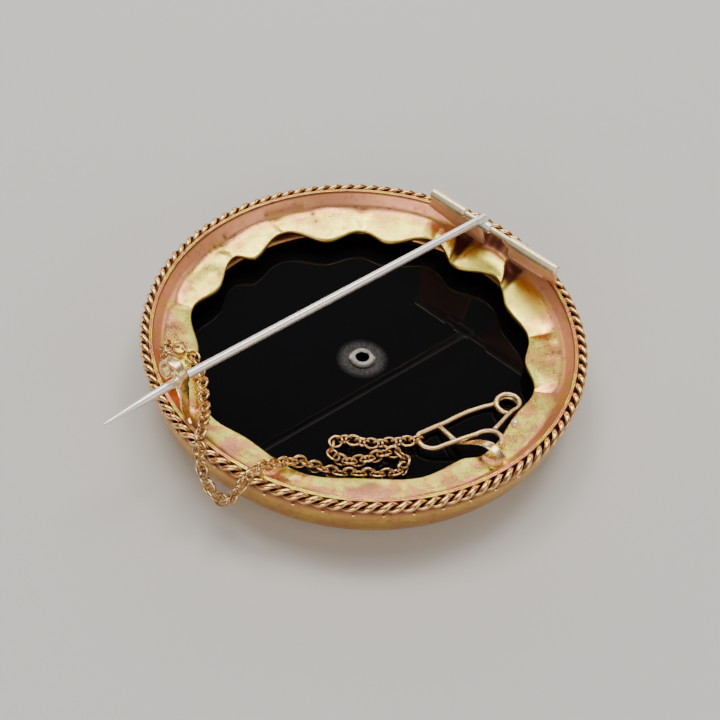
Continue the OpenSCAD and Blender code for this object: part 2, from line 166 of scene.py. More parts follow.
# Stains and spilt solder on the sheet, and painted shade on the wall under the hinge plates
# and beside the catch plate: radius, angle, size, strength
STAINS_AND_PAINTED_SHADE = (
    (22.3, 59, 0.28, 0.9), (21.2, 58.8, 0.25, 0.8), (22.8, 97, 0.2, 0.8), (22.8, 99, 0.2, 0.7),
    (22.9, 94.5, 0.26, 0.8), (23.1, 89.7, 0.26, 0.8), (22.7, 108, 0.3, 0.4),
    (22.1, 110.5, 0.3, 0.4), (21.5, 113, 0.3, 0.45), (21.4, 118.5, 0.3, 0.4),
    (21.5, 125, 0.9, 0.35), (22, -62, 0.5, 0.6), (22, -68, 0.8, 0.3), (20.8, -135.5, 0.9, 0.35),
    (23.4, 2, 1.3, 1.0), (23.4, -0.5, 1.4, 1.0), (23.4, -3, 1.3, 1.0), (22.9, 6, 1.0, 0.9),
    (22.9, 9, 0.8, 0.7), (23.3, -7, 1.2, 0.8), (23.1, -10.5, 1.1, 0.8), (22.8, -14, 0.9, 0.6),
    (23.3, 166, 1.2, 0.6), (23.3, 171, 1.2, 0.75), (23.3, 176, 1.1, 0.75),
    (23.2, 181, 0.9, 0.6),
) + tuple((23.25, angle, 0.28, 0.45) for angle in range(62, 75))
# Painted highlights on facets of the beaten sheet; with a strength below 0, painted rosy
# shade instead: radius, angle, size, strength
PAINTED_LIGHT_SPOTS = (
    (19.4, 133, 0.9, 0.6), (19.6, -81, 0.9, 0.8), (20.3, -2, 1.8, 1.0), (20.8, -21, 1.8, 1.0),
    (21.2, -28, 1.6, 0.7),
    (20.4, -169, 0.7, 0.9), (20.6, -165, 0.8, 1.0), (20.9, -161, 0.7, 0.9),
    (21.4, -154.5, 0.8, 1.0), (21.4, -151.5, 0.8, 1.0), (21.3, -147.5, 0.7, 0.9),
    (20.9, -126, 0.7, 0.9), (20.8, -122, 0.8, 1.0), (20.6, -118, 0.7, 0.9),
    (20.2, -109, 0.7, 0.8), (21.5, 173, 1.2, -0.4), (22, -178, 1.3, -0.5),
    (22, -160, 0.8, -0.4), (21.5, -139, 1.3, -0.5), (21.8, -131, 0.8, -0.4),
    (22.2, -113, 0.8, -0.4), (20.6, -100, 1.0, -0.5),
)
SPOT_REACH, MARKED_ABOVE = 9, -4
WIRE_TONE, DOME_TONE, DOME_DARKENING = 0.55, 0.48, 0.22
AROUND, SHELF_STEPS, COVE_STEPS, WALL_STEPS = 1080, 16, 9, 6


def lip_radius(angle):
    while angle > LIP[0][0]:
        angle -= 360
    for (a, ra), (b, rb) in zip(LIP, LIP[1:]):
        if b <= angle <= a:
            t = (a - angle) / (a - b)
            return ra + (rb - ra) * (1 - math.cos(math.pi * t)) / 2
    return LIP[-1][1]


def turned(angle, other):
    return (angle - other + 180) % 360 - 180


def eased(t):
    t = min(1, max(0, t))
    return t * t * (3 - 2 * t)


def recess(angle, out):
    """Depth and painted shade of the recesses by the hinge petal; out runs from lip to fold."""
    depth = shade = 0.0
    for crisp, soft in RECESSES:
        crisp_here = crisp[0] + (crisp[1] - crisp[0]) * out
        soft_here = soft[0] + (soft[1] - soft[0]) * out
        way = turned(angle, soft_here) / (crisp_here - soft_here)
        past = (way - 1) * abs(crisp_here - soft_here) / CRISP_EDGE
        if way > 0 and past < 1:
            here = RECESS_AT_LIP + (RECESS_AT_FOLD - RECESS_AT_LIP) * out
            rise = 1 - eased(past)
            depth += here * eased(way / 0.7) * rise
            shade += eased(way / 0.4) * rise * (0.45 + 0.55 * eased(out * 2.5))
    return depth, shade


def pillow(angle, out):
    """Swelling of the hinge petal, from 0 at its edge to 1; below 0 beside it."""
    (_, left), (right, _) = RECESSES
    petal_left = left[0] + (left[1] - left[0]) * out
    petal_right = right[0] + (right[1] - right[0]) * out
    across = (turned(angle, petal_right) / (petal_left - petal_right)) * 2 - 1
    if abs(across) >= 1:
        return -1
    to_fold = eased((1.12 - out - 0.12 * abs(across)) * 3)
    return (1 - abs(across) ** 2.6) * eased(out * 1.5 + 0.1) * to_fold


def relief(angle, out):
    """Height of the beaten petals over the plain shelf."""
    mids = sorted((a - LIP[0][0]) % 360 for a, _, _ in CREASES)
    here = (angle - LIP[0][0]) % 360
    height = 0.0
    for k, low in enumerate(mids):
        span = (mids[(k + 1) % len(mids)] - low) % 360
        along = (here - low) % 360
        if along < span:
            s = 2 * along / span - 1
            height += PETAL_RISE * (1 - s * s) * math.sin(math.pi * min(1, 0.15 + 0.85 * out))
    for a, wide, deep in CREASES:
        off = abs(turned(angle, a)) / (1 + (wide - 1) * out)
        if off < 1:
            height -= deep * (1 - eased(off)) * math.sin(math.pi * min(0.8, 0.1 + 0.7 * out))
    height += HINGE_PETAL_RISE * max(0, pillow(angle, out))
    x, y = out * 4 + lip_radius(angle), math.radians(angle)
    beaten = noise.noise(Vector((x * math.cos(y), x * math.sin(y), 3)) * 0.42)
    return height + BEATING * beaten * eased(out * 4) - recess(angle, out)[0]


def shelf_height(r):
    return FOLD_Z - (FOLD_R - r) * SHELF_FALL


def marked(r, angle, spots):
    """The strongest mark at a place, out of a table of spots."""
    strongest = 0.0
    for spot_r, spot_angle, size, strength in spots:
        off = turned(angle, spot_angle)
        if abs(off) < SPOT_REACH:
            far = math.hypot(r - spot_r, math.radians(off) * r) / size
            strongest = max(strongest, strength * math.exp(-far * far), key=abs)
    return strongest


# Painted highlight and shade: on the hinge petal the tone is pale in the middle of its swell and
# turns tan towards its edge; elsewhere the plain tone stays.
def petal_tone_with_painted_light(angle, out, plain):
    swell = pillow(angle, out)
    return plain if swell < 0 else 0.05 + 0.75 * (1 - eased(swell * 1.6)) * eased(out * 2)


def border_ring(angle):
    """Section of the border at an angle: radius, height, tone from yellow to rose, tarnish
    with painted shade, and painted highlight spots."""
    lip = lip_radius(angle)
    start = lip + LIP_EDGE
    section = []

    def point(r, z, tone, tarnish_and_shade=0.0):
        bright = 0.0
        if z > MARKED_ABOVE:
            tarnish_and_shade = max(tarnish_and_shade, marked(r, angle, STAINS_AND_PAINTED_SHADE))
            bright = marked(r, angle, PAINTED_LIGHT_SPOTS)
        section.append((r, z, tone, min(1, tarnish_and_shade), bright))

    for k in range(SHELF_STEPS + 1):
        r = start + (COVE_START - start) * k / SHELF_STEPS
        out = (r - start) / (FOLD_R - start)
        point(r, shelf_height(r) + relief(angle, out),
              petal_tone_with_painted_light(angle, out, 0.08 + 0.42 * out ** 1.5),
              recess(angle, out)[1] + 0.25 * (k == 0))
    cove = ((COVE_START, shelf_height(COVE_START)), (FOLD_R, FOLD_Z), COVE_END)
    for k in range(1, COVE_STEPS + 1):
        u = k / COVE_STEPS
        r, z = (a * (1 - u) ** 2 + 2 * u * (1 - u) * b + u * u * c for a, b, c in zip(*cove))
        out = min(1, (r - start) / (FOLD_R - start))
        point(r, z + relief(angle, out) * eased((1 - u) * 1.25), 0.45 + 0.5 * u ** 1.3,
              recess(angle, out)[1] * eased((1 - u) * 3))
    wall_foot_r, wall_foot_z = COVE_END
    first_wire, last_wire = RIM_WIRES
    wire_z = RIM_UP - RIM_WIRE_R
    for k in range(1, WALL_STEPS):
        u = k / WALL_STEPS
        point(wall_foot_r + (first_wire - RIM_WIRE_R - wall_foot_r) * u,
              wall_foot_z + (wire_z - 0.15 - wall_foot_z) * u, 0.9 + 0.1 * u)
    # Painted shade: the sheet is darkened where it meets the first rim wire, at the wires' sides
    # where they touch, and on the wall under the rope.
    point(first_wire - RIM_WIRE_R, wire_z - 0.08, 1, 0.7)
    for wire_mid in RIM_WIRES:
        for a in range(180, -1, -30):
            point(wire_mid + RIM_WIRE_R * math.cos(math.radians(a)),
                  wire_z + RIM_WIRE_R * math.sin(math.radians(a)), WIRE_TONE,
                  0.8 if a in (0, 180) else 0)
    point(last_wire + RIM_WIRE_R, -0.3, 1, 1)
    for r, z in ((WALL_R - 0.1, -0.7), (WALL_R, -0.85)):
        point(r, z, 1, 0.8)
    # The outside dome is darkened a little all over.
    for a in range(0, 91, 6):
        point(DOME_IN + (WALL_R - DOME_IN) * math.cos(math.radians(a)),
              DOME_TOP + (FOOT - DOME_TOP) * math.sin(math.radians(a)),
              DOME_TONE, DOME_DARKENING)
    hidden = (
        (DOME_IN - 0.25, FOOT), (FRONT_R + 0.08, FOOT + 0.12), (FRONT_R, FOOT + 0.3),
        (FRONT_R, ONYX_FRONT - SEAT_GAP), (SEAT_R, ONYX_FRONT - SEAT_GAP),
        (SEAT_R, ONYX_BACK + SEAT_GAP), (SEAT_R - 0.5, ONYX_BACK + SEAT_GAP),
        (SEAT_R - 0.5, ONYX_BACK + SEAT_GAP + 0.25), (SEAT_R + 0.4, -4.1),
        (WALL_R - 1.3, -4.1), (WALL_R - 0.6, -2.4), (WALL_R - 0.6, -1.7), (23.4, -1.95),
        (22.8, -2.3),
    )
    for r, z in hidden:
        point(r, z, 0.7, 0.3)
    under = shelf_height(lip) - SHEET
    for r, z in ((lip + LIP_EDGE, under), (lip + 0.02, under + 0.08), (lip, under + SHEET / 2),
                 (lip + 0.02, under + SHEET - 0.08)):
        point(r, z, 0.6, 0.45)
    return section


def mesh_piece(name, verts, faces):
    mesh = bpy.data.meshes.new(name)
    mesh.from_pydata([tuple(at(*v)) for v in verts], [], faces)
    shape = bmesh.new()
    shape.from_mesh(mesh)
    bmesh.ops.recalc_face_normals(shape, faces=shape.faces)
    shape.to_mesh(mesh)
    shape.free()
    mesh.shade_smooth()
    return placed(name, mesh)


def loop_faces(rings, per_ring):
    """Faces between neighbouring rings of points, and from the last ring to the first."""
    return [
        (k * per_ring + i, (k + 1) % rings * per_ring + i,
         (k + 1) % rings * per_ring + (i + 1) % per_ring, k * per_ring + (i + 1) % per_ring)
        for k in range(rings) for i in range(per_ring)
    ]


def round_outline(u, v, r, sides):
    return [(u + r * math.cos(math.tau * k / sides), v + r * math.sin(math.tau * k / sides))
            for k in range(sides)]


def slab(outline, low, high, place=lambda u, v, w: (u, v, w)):
    """Flat plate: outline points placed by place(u, v, w), from w = low to w = high."""
    n = len(outline)
    verts = [place(u, v, w) for w in (low, high) for u, v in outline]
    faces = [tuple(range(n)), tuple(range(2 * n - 1, n - 1, -1))]
    faces += [(i, (i + 1) % n, n + (i + 1) % n, n + i) for i in range(n)]
    return verts, faces


def finished(holder):
    """Runs a holder's modifiers and keeps the result as its plain mesh."""
    bpy.context.view_layer.update()
    graph = bpy.context.evaluated_depsgraph_get()
    mesh = bpy.data.meshes.new_from_object(holder.evaluated_get(graph))
    mesh.name = holder.name
    holder.modifiers.clear()
    holder.data = mesh
    return holder


def cut(piece, hole):
    """Takes the shape of a hole, as verts and faces, out of a piece."""
    drill = mesh_piece("drill", *hole)
    piece.modifiers.new("hole", "BOOLEAN").object = drill
    finished(piece)
    bpy.data.objects.remove(drill)


def paint(piece, material):
    piece.data.materials.clear()
    piece.data.materials.append(material)


def dress(piece, material, body, stands_for=None):
    paint(piece, material)
    if stands_for:
        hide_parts(stands_for)
    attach(piece, body)


def add_node(tree, kind, **values):
    """New node; each value sets an input, feeds it from a socket, or sets a property."""
    node = tree.nodes.new(kind)
    for key, value in values.items():
        name = key.replace("_", " ")
        if name not in node.inputs:
            setattr(node, key, value)
        elif isinstance(value, bpy.types.NodeSocket):
            tree.links.new(value, node.inputs[name])
        else:
            node.inputs[name].default_value = value
    return node


def math_node(tree, operation, *values):
    """Math node fed by sockets or numbers; gives its output socket."""
    node = add_node(tree, "ShaderNodeMath", operation=operation)
    for k, value in enumerate(values):
        if isinstance(value, (int, float)):
            node.inputs[k].default_value = value
        else:
            tree.links.new(value, node.inputs[k])
    return node.outputs[0]


def vector_sum(tree, first, second):
    node = add_node(tree, "ShaderNodeVectorMath", operation="ADD", Vector=first)
    tree.links.new(second, node.inputs[1])
    return node.outputs[0]


def ranged(tree, value, low, high, to_low=0.0, to_high=1.0):
    return add_node(tree, "ShaderNodeMapRange", Value=value, From_Min=low, From_Max=high,
                    To_Min=to_low, To_Max=to_high).outputs["Result"]


def mixed(tree, share, first, second):
    """Mixes two colours, each a socket or three numbers."""
    node = add_node(tree, "ShaderNodeMix", data_type="RGBA")
    for k, value in ((0, share), (6, first), (7, second)):
        if isinstance(value, tuple):
            node.inputs[k].default_value = (*value, 1)
        else:
            tree.links.new(value, node.inputs[k])
    return node.outputs[2]


def noise_at(tree, vector, scale, detail, roughness=0.5):
    return add_node(tree, "ShaderNodeTexNoise", Vector=vector, Scale=scale, Detail=detail,
                    Roughness=roughness).outputs["Fac"]


def metal_base(name, metallic=1):
    """New material with its pattern space in millimetres from the middle: tree, shader,
    place, distance from the middle's axis, and height."""
    material = bpy.data.materials.new(name)
    material.use_nodes = True
    tree = material.node_tree
    shader = tree.nodes["Principled BSDF"]
    shader.inputs["Metallic"].default_value = metallic
    coords = add_node(tree, "ShaderNodeTexCoord")
    centred = add_node(tree, "ShaderNodeMapping", Vector=coords.outputs["Object"],
                       Location=-MIDDLE / MM, Scale=(1 / MM, 1 / MM, 1 / MM))
    x, y, z = add_node(tree, "ShaderNodeSeparateXYZ", Vector=centred.outputs[0]).outputs
    away = math_node(tree, "SQRT", math_node(
        tree, "ADD", math_node(tree, "MULTIPLY", x, x), math_node(tree, "MULTIPLY", y, y)))
    return material, tree, shader, centred.outputs[0], away, z


def surface(tree, shader, height, gloss, rough, strength, depth=0.08):
    """Roughness and bump of a worked metal, from two noise sockets; gives the roughness."""
    roughness = ranged(tree, gloss, 0.3, 0.7, rough * 0.7, rough * 1.35)
    tree.links.new(roughness, shader.inputs["Roughness"])
    bump = add_node(tree, "ShaderNodeBump", Height=height, Strength=strength,
                    Distance=depth * MM)
    tree.links.new(bump.outputs["Normal"], shader.inputs["Normal"])
    return roughness


PALE, YELLOW = (0.98, 0.87, 0.17), (0.95, 0.69, 0.14)
TAN, ROSE, DARK_TARNISH_AND_SHADE = (0.84, 0.43, 0.14), (0.90, 0.40, 0.22), (0.10, 0.032, 0.022)
CATCH_WAY = (-0.79, -0.61, 0)
border_gold, tree, shader, place, away, up = metal_base("border_gold")
tone_now, tarnish_and_shade_now, painted_light_now = (
    add_node(tree, "ShaderNodeAttribute", attribute_name=label).outputs["Fac"]
    for label in ("tone", "tarnish_and_shade", "painted_light")
)
clouds = noise_at(tree, place, 0.45, 3.0)
stains = noise_at(tree, place, 1.1, 6.0, 0.65)
# Streaks run along the border, being long where both its radius and height stay the same
around = add_node(tree, "ShaderNodeMapping", Vector=place, Scale=(0.3, 0.3, 0))
band = add_node(tree, "ShaderNodeCombineXYZ", Z=math_node(
    tree, "MULTIPLY_ADD", up, 4.5, math_node(tree, "MULTIPLY", away, 6.0)))
lengthwise = vector_sum(tree, around.outputs[0], band.outputs[0])
streaks = noise_at(tree, lengthwise, 1.0, 7.0, 0.65)
# Patches of paler and rosier gold are strongest on the catch's side and stay off the outside
towards_catch = add_node(tree, "ShaderNodeVectorMath", operation="DOT_PRODUCT", Vector=place)
towards_catch.inputs[1].default_value = CATCH_WAY
catch_side_share = ranged(tree, towards_catch.outputs["Value"], -12.0, 16.0, 0.35, 1.0)
patches = math_node(tree, "MULTIPLY", ranged(tree, clouds, 0.42, 0.58, -0.45, 0.5), catch_side_share)
inside = math_node(tree, "MINIMUM", ranged(tree, away, 24.3, 24.6, 1.0, 0.15),
                   ranged(tree, up, -4.5, -3.5, 0.15, 1.0))
uneven = math_node(tree, "MULTIPLY_ADD", patches, inside, tone_now)
uneven = math_node(tree, "MULTIPLY_ADD", math_node(tree, "SUBTRACT", streaks, 0.5), 0.9, uneven)
# Painted highlight: spots above 0 turn the colour pale; painted shade spots below 0 turn it rosy.
uneven = math_node(tree, "MULTIPLY_ADD", painted_light_now, -0.5, uneven)
colour = mixed(tree, ranged(tree, uneven, 0.0, 0.3), PALE, YELLOW)
colour = mixed(tree, ranged(tree, uneven, 0.28, 0.58), colour, TAN)
colour = mixed(tree, ranged(tree, uneven, 0.62, 0.92), colour, ROSE)
# Darkening from dull noise spots, the tarnish and painted shade attribute, and the painted shade
# spots below 0.
darkening = math_node(tree, "MULTIPLY_ADD", ranged(tree, stains, 0.55, 0.75), 0.4, tarnish_and_shade_now)
darkening = math_node(tree, "MULTIPLY_ADD", math_node(tree, "MINIMUM", painted_light_now, 0.0), -0.5, darkening)
colour = mixed(tree, ranged(tree, darkening, 0.0, 1.0), colour, DARK_TARNISH_AND_SHADE)
tree.links.new(colour, shader.inputs["Base Color"])
fine = noise_at(tree, place, 6.0, 5.0, 0.6)
height = math_node(tree, "MULTIPLY_ADD", streaks, 2.2, fine)
gloss = surface(tree, shader, height, stains, 0.27, 0.18)
gloss = math_node(tree, "MULTIPLY_ADD", ranged(tree, tone_now, 0.6, 1.0), 0.18, gloss)
gloss = math_node(tree, "MULTIPLY_ADD", tarnish_and_shade_now, 0.3, gloss)
gloss = math_node(tree, "MULTIPLY_ADD", math_node(tree, "MAXIMUM", painted_light_now, 0.0), 0.16, gloss)
tree.links.new(gloss, shader.inputs["Roughness"])

rings = [border_ring(360 * k / AROUND) for k in range(AROUND)]
border = mesh_piece("border", [
    (r * math.cos(math.tau * k / AROUND), r * math.sin(math.tau * k / AROUND), z)
    for k, ring in enumerate(rings) for r, z, *_ in ring
], loop_faces(AROUND, len(rings[0])))
for column, label in ((2, "tone"), (3, "tarnish_and_shade"), (4, "painted_light")):
    layer = border.data.attributes.new(label, "FLOAT", "POINT")
    layer.data.foreach_set("value", [row[column] for ring in rings for row in ring])
HOLE_X, HOLE_Y, HOLE_R, HOLE_LOW, HOLE_HIGH = -4.1, -22.1, 0.3, -2.6, -0.6
cut(border, slab(round_outline(HOLE_X, HOLE_Y, HOLE_R, 24), HOLE_LOW, HOLE_HIGH))
dress(border, border_gold, "brooch", "frame")

# ---------------------------------------------------------------------------------------
# Rope rim. Two round gold wires twisted together into a cord, bent into a ring and soldered
# on the outside of the rim.
ROPE_RING, ROPE_R, ROPE_TURNS, STEPS_PER_TURN, STRAND_SIDES = 24.88, 0.62, 51, 14, 10


def made_by(tree, name, settings, mesh=None):
    """New piece from a Geometry Nodes tree with its named inputs set."""
    holder = placed(name, mesh or bpy.data.meshes.new(name))
    modifier = holder.modifiers.new(name, "NODES")
    modifier.node_group = tree
    for item in tree.interface.items_tree:
        if item.item_type == "SOCKET" and item.in_out == "INPUT" and item.name in settings:
            modifier[item.identifier] = settings[item.name]
    return finished(holder)


def new_tree(name, sockets):
    """New Geometry Nodes tree: the tree, its inputs' sockets and its output node."""
    tree = bpy.data.node_groups.new(name, "GeometryNodeTree")
    for label, kind in (("Geometry", "Geometry"), *sockets):
        tree.interface.new_socket(label, in_out="INPUT", socket_type="NodeSocket" + kind)
    tree.interface.new_socket("Geometry", in_out="OUTPUT", socket_type="NodeSocketGeometry")
    return tree, tree.nodes.new("NodeGroupInput").outputs, tree.nodes.new("NodeGroupOutput")


def end_tree(tree, given, result, geometry, **seat):
    """Ends a tree: its geometry put in place, smoothed, made real and given its metal."""
    made = add_node(tree, "GeometryNodeTransform", Geometry=geometry, **seat)
    made = add_node(tree, "GeometryNodeSetShadeSmooth", Geometry=made.outputs[0])
    made = add_node(tree, "GeometryNodeRealizeInstances", Geometry=made.outputs[0])
    made = add_node(tree, "GeometryNodeSetMaterial", Geometry=made.outputs[0],
                    Material=given["Metal"])
    tree.links.new(made.outputs[0], result.inputs[0])


def swept_round(tree, curve, radius, sides):
    """Round wire along a curve."""
    around = add_node(tree, "GeometryNodeCurvePrimitiveCircle", Resolution=sides, Radius=radius)
    return add_node(tree, "GeometryNodeCurveToMesh", Curve=curve,
                    Profile_Curve=around.outputs["Curve"]).outputs[0]


def worked_gold(name, first, second, rough, strength, darkening=0.5, metallic=1):
    """Worked gold in two tones that cloud into each other, with fine pits and dull spots."""
    material, tree, shader, place, away, up = metal_base(name, metallic)
    clouds = noise_at(tree, place, 0.9, 4.0)
    stains = noise_at(tree, place, 2.2, 6.0, 0.65)
    colour = mixed(tree, ranged(tree, clouds, 0.35, 0.65), first, second)
    colour = mixed(tree, ranged(tree, stains, 0.58, 0.8, 0.0, darkening), colour, DARK_TARNISH_AND_SHADE)
    tree.links.new(colour, shader.inputs["Base Color"])
    surface(tree, shader, noise_at(tree, place, 7.0, 5.0, 0.6), stains, rough, strength)
    return material, tree, shader, colour, away, up


ROPE_PAINTED_SHADE = (0.2, 0.075, 0.04)
rope_gold, tree, shader, colour, away, up = worked_gold(
    "rope_gold", (0.96, 0.62, 0.24), (0.92, 0.50, 0.19), 0.22, 0.12)
across = math_node(tree, "SUBTRACT", away, ROPE_RING)
from_heart = math_node(tree, "SQRT", math_node(
    tree, "ADD", math_node(tree, "MULTIPLY", across, across), math_node(tree, "MULTIPLY", up, up)))
# Painted shade: the rope is darker underneath and in the crevices near its heart.
colour = mixed(tree, ranged(tree, up, -0.5, 0.05), ROPE_PAINTED_SHADE, colour)
tree.links.new(mixed(tree, ranged(tree, from_heart, 0.3, 0.5), ROPE_PAINTED_SHADE, colour),
               shader.inputs["Base Color"])

rope_tree, given, result = new_tree("twisted_rope", (
    ("Ring Radius", "Float"), ("Strand Radius", "Float"), ("Turns", "Float"),
    ("Middle", "Vector"), ("Metal", "Material"),
))
joined = add_node(rope_tree, "GeometryNodeJoinGeometry")
for start in (0.0, math.pi):
    circle = add_node(rope_tree, "GeometryNodeCurvePrimitiveCircle",
                      Resolution=ROPE_TURNS * STEPS_PER_TURN, Radius=given["Ring Radius"])
    share = add_node(rope_tree, "GeometryNodeSplineParameter").outputs["Factor"]
    phase = math_node(rope_tree, "MULTIPLY_ADD",
                      math_node(rope_tree, "MULTIPLY", share, given["Turns"]), math.tau, start)
    outwards = add_node(rope_tree, "ShaderNodeVectorMath", operation="NORMALIZE", Vector=add_node(
        rope_tree, "GeometryNodeInputPosition").outputs[0])
    sideways = add_node(rope_tree, "ShaderNodeVectorMath", operation="SCALE",
                        Vector=outwards.outputs[0], Scale=math_node(rope_tree, "COSINE", phase))
    upwards = add_node(rope_tree, "ShaderNodeCombineXYZ", Z=math_node(rope_tree, "SINE", phase))
    offset = add_node(rope_tree, "ShaderNodeVectorMath", operation="SCALE",
                      Vector=vector_sum(rope_tree, sideways.outputs[0], upwards.outputs[0]),
                      Scale=given["Strand Radius"])
    moved = add_node(rope_tree, "GeometryNodeSetPosition", Geometry=circle.outputs["Curve"],
                     Offset=offset.outputs[0])
    rope_tree.links.new(swept_round(rope_tree, moved.outputs[0], given["Strand Radius"],
                                    STRAND_SIDES), joined.inputs[0])
end_tree(rope_tree, given, result, joined.outputs[0], Translation=given["Middle"])
rope = made_by(rope_tree, "rope", {
    "Ring Radius": ROPE_RING * MM, "Strand Radius": ROPE_R / 2 * MM, "Turns": float(ROPE_TURNS),
    "Middle": MIDDLE, "Metal": rope_gold,
})
dress(rope, rope_gold, "brooch", "frame")

# ---------------------------------------------------------------------------------------
# Granules. Small gold balls, soldered in a row round the outside of the border so that they
# sit close under the rope.
GRANULE_RING, GRANULE_R, GRANULE_Z, GRANULES = 25.01, 0.25, -1.2, 50
granule_gold = worked_gold("granule_gold", (0.92, 0.56, 0.26), (0.86, 0.46, 0.2), 0.22, 0.15)[0]
granule_tree, given, result = new_tree("granule_row", (
    ("Count", "Int"), ("Ring Radius", "Float"), ("Ball Radius", "Float"), ("Middle", "Vector"),
    ("Metal", "Material"),
))
circle = add_node(granule_tree, "GeometryNodeMeshCircle", Vertices=given["Count"],
                  Radius=given["Ring Radius"])
ball = add_node(granule_tree, "GeometryNodeMeshIcoSphere", Subdivisions=3,
                Radius=given["Ball Radius"])
row = add_node(granule_tree, "GeometryNodeInstanceOnPoints", Points=circle.outputs["Mesh"],
               Instance=ball.outputs["Mesh"])
end_tree(granule_tree, given, result, row.outputs[0], Translation=given["Middle"],
         Rotation=(0, 0, math.pi / GRANULES))
granules = made_by(granule_tree, "granules", {
    "Count": GRANULES, "Ring Radius": GRANULE_RING * MM, "Ball Radius": GRANULE_R * MM,
    "Middle": at(0, 0, GRANULE_Z), "Metal": granule_gold,
})
dress(granules, granule_gold, "brooch", "frame")

# ---------------------------------------------------------------------------------------
# Hinge mounting. Two gold tubes on one line, each soldered to a plate that leans out from it
# down to the wall, with a thin ledge of solder along the longer plate; the tubes' rounded
# ends are polished by wear.
HINGE_X, HINGE_UP, KNUCKLE_R, WIRE_R = 19.85, 4.5, 0.63, 0.36
LEFT_KNUCKLE, RIGHT_KNUCKLE, PIN_KNUCKLE = (2.1, 7.3), (-11.6, -4.6), (-1.75, 0.65)
OUTER_BORE, PIN_BORE = WIRE_R + 0.03, WIRE_R + 0.05
PLATE_LEAN, PLATE_T = math.radians(28), 0.5
LEFT_TOP = ((0.3, 7.2), (0.3, 2.2), (1.0, 2.2), (1.0, 0.2))
LEFT_FOOT = (0.75, 9.1)
RIGHT_TOP = ((4.4, -3.6), (2.1, -4.2), (1.2, -3.4), (0.7, -3.4), (0.3, -4.6), (0.3, -11.3))
RIGHT_FOOT = (-10.8, -3.9)
LEDGE, LEDGE_T = ((4.0, -4.4), (4.3, -4.4), (4.3, -9.1), (4.0, -9.1)), 0.3
PLATE_EDGE, WALL_BITE, PLATE_SHADE = 0.06, 0.1, (0.56, 0.30, 0.20)


def tube_along_y(ends, outer, bore, segments=48, soft=0.16):
    """Lathed tube with softened ends, lying along Y on the hinge line."""
    low, high = ends
    half = [(bore, 0.1), (bore + 0.06, 0.02)]
    half += [
        (outer - soft + soft * math.sin(math.radians(a)), soft - soft * math.cos(math.radians(a)))
        for a in range(0, 91, 18)
    ]
    section = [(r, low + d) for r, d in half] + [(r, high - d) for r, d in reversed(half)]
    verts = [
        (HINGE_X + r * math.cos(math.tau * k / segments), y,
         HINGE_UP + r * math.sin(math.tau * k / segments))
        for k in range(segments) for r, y in section
    ]
    return verts, loop_faces(segments, len(section))


def merged(name, parts):
    verts, faces = [], []
    for more_verts, more_faces in parts:
        base = len(verts)
        verts += more_verts
        faces += [tuple(base + i for i in face) for face in more_faces]
    return mesh_piece(name, verts, faces)


def on_plate(u, v, w):
    """u runs down the plate from the hinge line, v along Y and w across its thickness."""
    return (
        HINGE_X + u * math.sin(PLATE_LEAN) + w * math.cos(PLATE_LEAN),
        v,
        HINGE_UP - u * math.cos(PLATE_LEAN) + w * math.sin(PLATE_LEAN),
    )


def to_wall(y):
    """How far down the plate the wall is met, at a place along the hinge line."""
    wall_r, wall_z = COVE_END
    low, high = 2.0, 8.0
    for _ in range(30):
        u = (low + high) / 2
        x, _, z = on_plate(u, y, 0)
        share = min(1, max(0, (z - wall_z) / (RIM_UP - wall_z)))
        if math.hypot(x, y) < wall_r + (RIM_WIRES[0] - wall_r) * share + WALL_BITE:
            low = u
        else:
            high = u
    return low


def plate(top, foot, steps=14):
    places = [foot[0] + (foot[1] - foot[0]) * k / steps for k in range(steps + 1)]
    outline = list(top) + [(to_wall(y), y) for y in places]
    return slab(outline, -PLATE_T / 2, PLATE_T / 2, on_plate)


def round_edges(piece, width, angle=50):
    edges = piece.modifiers.new("edges", "BEVEL")
    edges.width = width * MM
    edges.segments = 2
    edges.limit_method = "ANGLE"
    edges.angle_limit = math.radians(angle)
    return finished(piece)


plate_gold, tree, shader, colour, _, up = worked_gold(
    "plate_gold", (0.95, 0.57, 0.38), (0.90, 0.48, 0.31), 0.65, 0.3, metallic=0.6)
tree.links.new(mixed(tree, ranged(tree, up, -0.8, 1.4), PLATE_SHADE, colour),
               shader.inputs["Base Color"])
hinge_plates = round_edges(merged("hinge_plates", [
    plate(LEFT_TOP, LEFT_FOOT), plate(RIGHT_TOP, RIGHT_FOOT),
    slab(LEDGE, -PLATE_T / 2 - LEDGE_T, -PLATE_T / 4, on_plate),
]), PLATE_EDGE)
dress(hinge_plates, plate_gold, "brooch", "frame")
tube_gold = worked_gold(
    "tube_gold", (0.98, 0.88, 0.62), (0.96, 0.80, 0.50), 0.4, 0.08, 0.12, 0.8)[0]
hinge_tubes = merged("hinge_tubes", [
    tube_along_y(ends, KNUCKLE_R, OUTER_BORE) for ends in (LEFT_KNUCKLE, RIGHT_KNUCKLE)])
dress(hinge_tubes, tube_gold, "brooch", "frame")
paint(nodes["hinge_wire"], tube_gold)

